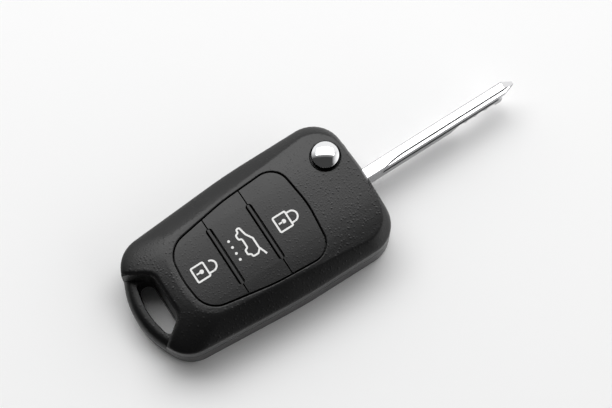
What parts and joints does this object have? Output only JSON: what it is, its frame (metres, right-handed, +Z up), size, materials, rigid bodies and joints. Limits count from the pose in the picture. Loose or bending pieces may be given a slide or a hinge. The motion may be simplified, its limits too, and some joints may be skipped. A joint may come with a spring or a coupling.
{
  "type": "folding car key",
  "caption": "Folding car key with a tapered two-shell case, press keys under a flush pad, a flip-out blade, a chrome release button and a keyring slot.",
  "frame": {"origin": "middle of the flat back of the case", "axes": "+X along the open blade, +Z up through the keys, +Y towards the side where the blade folds in"},
  "size_m": [0.1102, 0.0362, 0.0172],
  "materials": {
    "case_black": "fine moulded grain",
    "key_black": "satin",
    "silicone_black": "matt",
    "chrome": "polished",
    "blade_nickel": "ground and plated",
    "steel": "plain",
    "hub_plastic": "satin",
    "seal_rubber": "matt",
    "board_green": "solder mask",
    "chip_black": "moulded",
    "coil_copper": "enamelled wire",
    "contact_gold": "plated",
    "cell_steel": "plain"
  },
  "bodies": {
    "case": {"upper_case": "case_black", "lower_case": "case_black", "battery_cover": "case_black", "cover_seal": "seal_rubber", "case_screws": "steel", "keypad_membrane": "silicone_black", "switch_bodies": "steel", "circuit_board": "board_green", "controller_chip": "chip_black", "radio_crystal": "steel", "antenna_coil": "coil_copper", "coin_cell": "cell_steel", "positive_contact": "contact_gold", "negative_contact": "contact_gold", "transponder_chip": "chip_black", "hub_washer": "steel"},
    "blade": {"key_blade": "blade_nickel", "blade_hub": "hub_plastic", "blade_pin": "steel", "flip_spring": "steel"},
    "release": {"release_button": "chrome", "release_plunger": "hub_plastic"},
    "lock_key": {"lock_button": "key_black", "lock_stem": "chip_black"},
    "tailgate_key": {"tailgate_button": "key_black", "tailgate_stem": "chip_black"},
    "unlock_key": {"unlock_button": "key_black", "unlock_stem": "chip_black"}
  },
  "joints": [
    {"name": "blade_flip", "type": "hinge", "parent": "case", "child": "blade", "pos_m": [0.02662, 0.0079, 0.0069], "axis": [0, 0, 1], "range_deg": [0, 180], "stiffness_Nm_per_rad": 0.006, "springref_deg": -85.94},
    {"name": "release_press", "type": "slide", "parent": "blade", "child": "release", "axis": [0, 0, -1], "range_m": [0, 0.002], "stiffness_N_per_m": 600, "springref_m": -0.002, "deforming": ["flip_spring"]},
    {"name": "lock_press", "type": "slide", "parent": "case", "child": "lock_key", "axis": [0, 0, -1], "range_m": [0, 0.0004], "stiffness_N_per_m": 2500, "springref_m": -0.0003},
    {"name": "tailgate_press", "type": "slide", "parent": "case", "child": "tailgate_key", "axis": [0, 0, -1], "range_m": [0, 0.0004], "stiffness_N_per_m": 2500, "springref_m": -0.0003},
    {"name": "unlock_press", "type": "slide", "parent": "case", "child": "unlock_key", "axis": [0, 0, -1], "range_m": [0, 0.0004], "stiffness_N_per_m": 2500, "springref_m": -0.0003}
  ]
}
